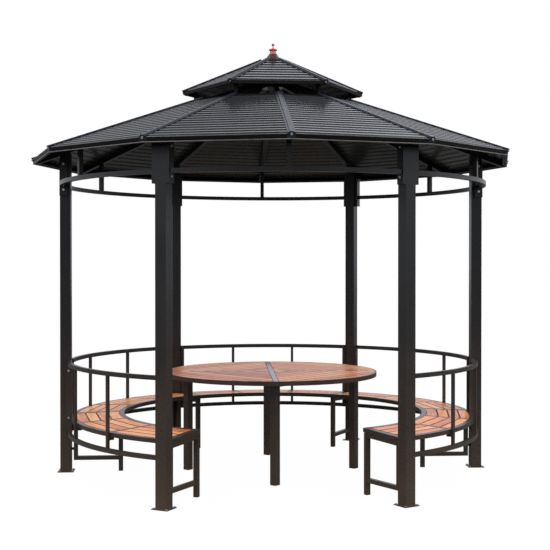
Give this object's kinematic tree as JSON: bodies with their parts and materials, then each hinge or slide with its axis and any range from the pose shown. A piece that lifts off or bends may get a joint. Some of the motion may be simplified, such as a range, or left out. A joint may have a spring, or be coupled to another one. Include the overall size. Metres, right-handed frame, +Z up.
{
  "type": "garden gazebo",
  "caption": "Round open steel gazebo with a ribbed two-tier roof, curved timber benches with backrests round the bays, an open entrance and a round table in the middle.",
  "frame": {"origin": "centre of the gazebo at ground level", "axes": "+Z up, -Y out through the open entrance bay, +X to the right of someone facing in"},
  "size_m": [3.6352, 3.6352, 3.2396],
  "materials": {
    "frame_steel": "satin dark brown powder coat",
    "roof_steel": "satin dark brown-grey coated sheet",
    "hip_trim": "satin blue-grey coated sheet",
    "timber": "oiled reddish-brown hardwood",
    "finial": "gloss red enamel"
  },
  "bodies": {
    "root": {"post_front_right": "frame_steel", "post_right": "frame_steel", "post_back_right": "frame_steel", "post_back_left": "frame_steel", "post_left": "frame_steel", "post_front_left": "frame_steel", "frieze_front": "frame_steel", "frieze_front_right": "frame_steel", "frieze_back_right": "frame_steel", "frieze_back": "frame_steel", "frieze_back_left": "frame_steel", "frieze_front_left": "frame_steel", "eave_beams": "frame_steel", "post_rafters": "frame_steel", "mid_rafters": "frame_steel", "roof_hub": "frame_steel", "crown_purlins": "frame_steel", "lower_roof_panels": "roof_steel", "lower_hip_caps": "hip_trim", "vent_struts": "frame_steel", "upper_frame": "frame_steel", "upper_roof_panels": "roof_steel", "upper_hip_caps": "hip_trim", "peak_cap": "hip_trim", "finial": "finial", "bench_supports": "frame_steel", "seat_frame_front_right": "frame_steel", "seat_frame_back_right": "frame_steel", "seat_frame_back": "frame_steel", "seat_frame_back_left": "frame_steel", "seat_frame_front_left": "frame_steel", "seat_boards_front_right": "timber", "seat_boards_back_right": "timber", "seat_boards_back": "timber", "seat_boards_back_left": "timber", "seat_boards_front_left": "timber", "backrest_front_right": "frame_steel", "backrest_back_right": "frame_steel", "backrest_back": "frame_steel", "backrest_back_left": "frame_steel", "backrest_front_left": "frame_steel", "table_rim": "frame_steel", "table_cross_bars": "frame_steel", "table_boards": "timber", "table_frame": "frame_steel"}
  },
  "joints": []
}
